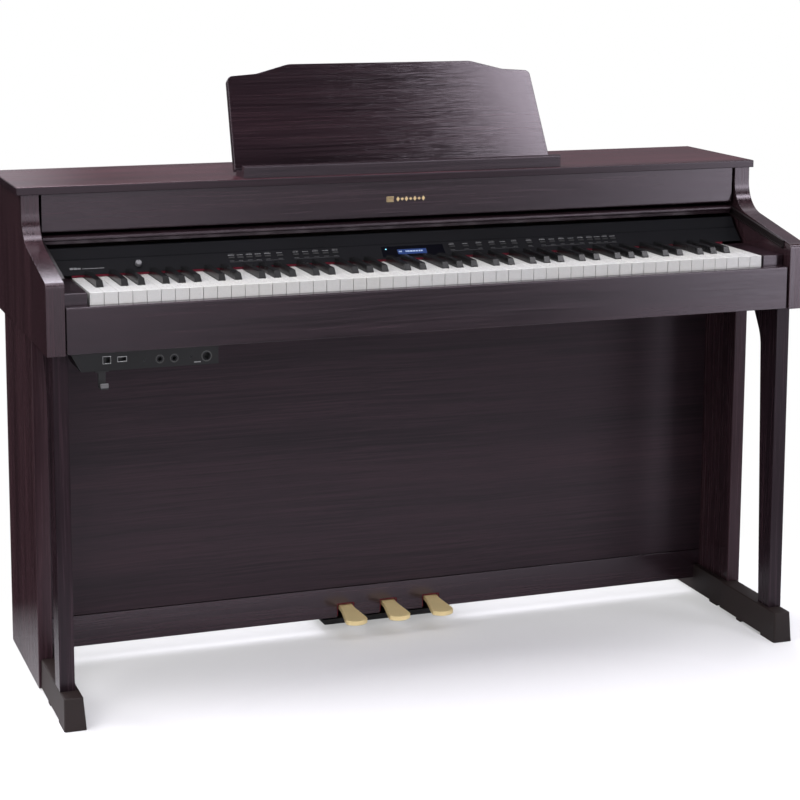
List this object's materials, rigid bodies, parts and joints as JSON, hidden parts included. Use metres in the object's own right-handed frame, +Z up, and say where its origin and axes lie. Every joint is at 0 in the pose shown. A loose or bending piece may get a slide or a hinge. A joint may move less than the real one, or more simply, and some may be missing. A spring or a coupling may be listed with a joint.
{
  "type": "digital piano on stand",
  "caption": "Upright digital piano on a panel stand, with hinged keys, sliding key cover, folding music rest and three pedals.",
  "frame": {"origin": "middle of the outer box at floor level", "axes": "+X towards the treble end, the longest way across; the player sits on the -Y side; +Z up"},
  "size_m": [1.386, 0.491, 1.053],
  "materials": {
    "rosewood": "satin dark rosewood-effect veneer",
    "hardboard": "matt brown hardboard",
    "black_plastic": "matt black moulded plastic",
    "window_black": "glossy smoked window",
    "lcd_blue": "backlit blue display",
    "ivory_white": "polished white key top",
    "ebony_black": "satin black key",
    "red_felt": "wool felt",
    "pedal_brass": "polished",
    "steel": "zinc plated",
    "black_steel": "black powder coat",
    "foot_plastic": "brown-grey moulded plastic",
    "knob_grey": "light grey plastic",
    "board_green": "coated circuit board"
  },
  "bodies": {
    "cabinet": {"lid": "rosewood", "cabinet_side_left": "rosewood", "cabinet_side_right": "rosewood", "stand_side_left": "rosewood", "stand_side_right": "rosewood", "front_leg_left": "rosewood", "front_leg_right": "rosewood", "foot_left": "foot_plastic", "foot_right": "foot_plastic", "kick_panel": "rosewood", "pedal_rail": "rosewood", "back_board": "hardboard", "keybed": "hardboard", "front_rail": "rosewood", "key_blocks": "rosewood", "upper_front_panel": "rosewood", "control_panel": "black_plastic", "display_window": "window_black", "lcd_screen": "lcd_blue", "key_felt": "red_felt", "connector_box": "black_plastic", "sockets": "black_plastic", "headphone_hook": "black_steel", "speaker_drivers": "black_steel", "speaker_grilles": "black_plastic", "circuit_boards": "board_green", "power_supply": "steel", "key_chassis": "steel", "key_pivot_rod": "steel", "pedal_box": "black_plastic", "pedal_axle": "steel", "pedal_springs": "steel", "cover_rails": "black_plastic", "rest_ledge": "rosewood", "rest_hardware": "steel", "back_screws": "steel"},
    "key_cover": {"key_cover_panel": "black_plastic", "key_cover_lip": "rosewood"},
    "music_rest": {"rest_board": "rosewood"},
    "rest_bail": {"rest_prop": "steel"},
    "soft_pedal": {"pedal_left": "pedal_brass"},
    "sostenuto_pedal": {"pedal_middle": "pedal_brass"},
    "damper_pedal": {"pedal_right": "pedal_brass"},
    "volume_dial": {"volume_knob": "knob_grey"},
    "left_buttons": {"buttons_left": "black_plastic"},
    "right_buttons": {"buttons_right": "black_plastic"},
    "other_white_keys": {"white_keys": "ivory_white"},
    "other_black_keys": {"black_keys": "ebony_black"},
    "key_c4": {"white_key_c4": "ivory_white"},
    "key_d4": {"white_key_d4": "ivory_white"},
    "key_e4": {"white_key_e4": "ivory_white"},
    "key_f4": {"white_key_f4": "ivory_white"},
    "key_g4": {"white_key_g4": "ivory_white"},
    "key_a4": {"white_key_a4": "ivory_white"},
    "key_b4": {"white_key_b4": "ivory_white"},
    "key_c_sharp4": {"black_key_c_sharp4": "ebony_black"},
    "key_d_sharp4": {"black_key_d_sharp4": "ebony_black"},
    "key_f_sharp4": {"black_key_f_sharp4": "ebony_black"},
    "key_g_sharp4": {"black_key_g_sharp4": "ebony_black"},
    "key_a_sharp4": {"black_key_a_sharp4": "ebony_black"}
  },
  "joints": [
    {"name": "key_c4_press", "type": "hinge", "parent": "cabinet", "child": "key_c4", "pos_m": [0, 0.028, 0.69], "axis": [1, 0, 0], "range_deg": [0, 2.5], "stiffness_Nm_per_rad": 3, "springref_deg": -8.59},
    {"name": "key_d4_press", "type": "hinge", "parent": "cabinet", "child": "key_d4", "pos_m": [0, 0.028, 0.69], "axis": [1, 0, 0], "range_deg": [0, 2.5], "stiffness_Nm_per_rad": 3, "springref_deg": -8.59},
    {"name": "key_e4_press", "type": "hinge", "parent": "cabinet", "child": "key_e4", "pos_m": [0, 0.028, 0.69], "axis": [1, 0, 0], "range_deg": [0, 2.5], "stiffness_Nm_per_rad": 3, "springref_deg": -8.59},
    {"name": "key_f4_press", "type": "hinge", "parent": "cabinet", "child": "key_f4", "pos_m": [0, 0.028, 0.69], "axis": [1, 0, 0], "range_deg": [0, 2.5], "stiffness_Nm_per_rad": 3, "springref_deg": -8.59},
    {"name": "key_g4_press", "type": "hinge", "parent": "cabinet", "child": "key_g4", "pos_m": [0, 0.028, 0.69], "axis": [1, 0, 0], "range_deg": [0, 2.5], "stiffness_Nm_per_rad": 3, "springref_deg": -8.59},
    {"name": "key_a4_press", "type": "hinge", "parent": "cabinet", "child": "key_a4", "pos_m": [0, 0.028, 0.69], "axis": [1, 0, 0], "range_deg": [0, 2.5], "stiffness_Nm_per_rad": 3, "springref_deg": -8.59},
    {"name": "key_b4_press", "type": "hinge", "parent": "cabinet", "child": "key_b4", "pos_m": [0, 0.028, 0.69], "axis": [1, 0, 0], "range_deg": [0, 2.5], "stiffness_Nm_per_rad": 3, "springref_deg": -8.59},
    {"name": "key_c_sharp4_press", "type": "hinge", "parent": "cabinet", "child": "key_c_sharp4", "pos_m": [0, 0.028, 0.69], "axis": [1, 0, 0], "range_deg": [0, 2.5], "stiffness_Nm_per_rad": 2, "springref_deg": -8.59},
    {"name": "key_d_sharp4_press", "type": "hinge", "parent": "cabinet", "child": "key_d_sharp4", "pos_m": [0, 0.028, 0.69], "axis": [1, 0, 0], "range_deg": [0, 2.5], "stiffness_Nm_per_rad": 2, "springref_deg": -8.59},
    {"name": "key_f_sharp4_press", "type": "hinge", "parent": "cabinet", "child": "key_f_sharp4", "pos_m": [0, 0.028, 0.69], "axis": [1, 0, 0], "range_deg": [0, 2.5], "stiffness_Nm_per_rad": 2, "springref_deg": -8.59},
    {"name": "key_g_sharp4_press", "type": "hinge", "parent": "cabinet", "child": "key_g_sharp4", "pos_m": [0, 0.028, 0.69], "axis": [1, 0, 0], "range_deg": [0, 2.5], "stiffness_Nm_per_rad": 2, "springref_deg": -8.59},
    {"name": "key_a_sharp4_press", "type": "hinge", "parent": "cabinet", "child": "key_a_sharp4", "pos_m": [0, 0.028, 0.69], "axis": [1, 0, 0], "range_deg": [0, 2.5], "stiffness_Nm_per_rad": 2, "springref_deg": -8.59},
    {"name": "other_white_keys_press", "type": "hinge", "parent": "cabinet", "child": "other_white_keys", "pos_m": [0, 0.028, 0.69], "axis": [1, 0, 0], "range_deg": [0, 2.5], "stiffness_Nm_per_rad": 135, "springref_deg": -8.59},
    {"name": "other_black_keys_press", "type": "hinge", "parent": "cabinet", "child": "other_black_keys", "pos_m": [0, 0.028, 0.69], "axis": [1, 0, 0], "range_deg": [0, 2.5], "stiffness_Nm_per_rad": 62, "springref_deg": -8.59},
    {"name": "key_cover_slide", "type": "slide", "parent": "cabinet", "child": "key_cover", "axis": [0, -0.9824, -0.1867], "range_m": [0, 0.186]},
    {"name": "music_rest_fold", "type": "hinge", "parent": "cabinet", "child": "music_rest", "pos_m": [0, 0.0513, 0.876], "axis": [-1, 0, 0], "range_deg": [0, 63]},
    {"name": "rest_bail_fold", "type": "hinge", "parent": "music_rest", "child": "rest_bail", "pos_m": [0, 0.09685, 0.95604], "axis": [1, 0, 0], "range_deg": [0, 126]},
    {"name": "soft_pedal_press", "type": "hinge", "parent": "cabinet", "child": "soft_pedal", "pos_m": [-0.084, 0.135, 0.0415], "axis": [1, 0, 0], "range_deg": [0, 6.5], "stiffness_Nm_per_rad": 12, "springref_deg": -6.88},
    {"name": "sostenuto_pedal_press", "type": "hinge", "parent": "cabinet", "child": "sostenuto_pedal", "pos_m": [0, 0.135, 0.0415], "axis": [1, 0, 0], "range_deg": [0, 6.5], "stiffness_Nm_per_rad": 12, "springref_deg": -6.88},
    {"name": "damper_pedal_press", "type": "hinge", "parent": "cabinet", "child": "damper_pedal", "pos_m": [0.085, 0.135, 0.0415], "axis": [1, 0, 0], "range_deg": [0, 6.5], "stiffness_Nm_per_rad": 12, "springref_deg": -6.88},
    {"name": "volume_dial_turn", "type": "hinge", "parent": "cabinet", "child": "volume_dial", "pos_m": [-0.495, -0.04341, 0.73222], "axis": [0, -0.6719, 0.7406], "range_deg": [-140, 140]},
    {"name": "left_buttons_press", "type": "slide", "parent": "cabinet", "child": "left_buttons", "axis": [0, 0.6719, -0.7406], "range_m": [0, 0.0008], "stiffness_N_per_m": 300, "springref_m": -0.002},
    {"name": "right_buttons_press", "type": "slide", "parent": "cabinet", "child": "right_buttons", "axis": [0, 0.6719, -0.7406], "range_m": [0, 0.0008], "stiffness_N_per_m": 300, "springref_m": -0.002}
  ],
  "couplings": [
    {"joint": "rest_bail_fold", "follows": "music_rest_fold", "ratio": 2}
  ]
}
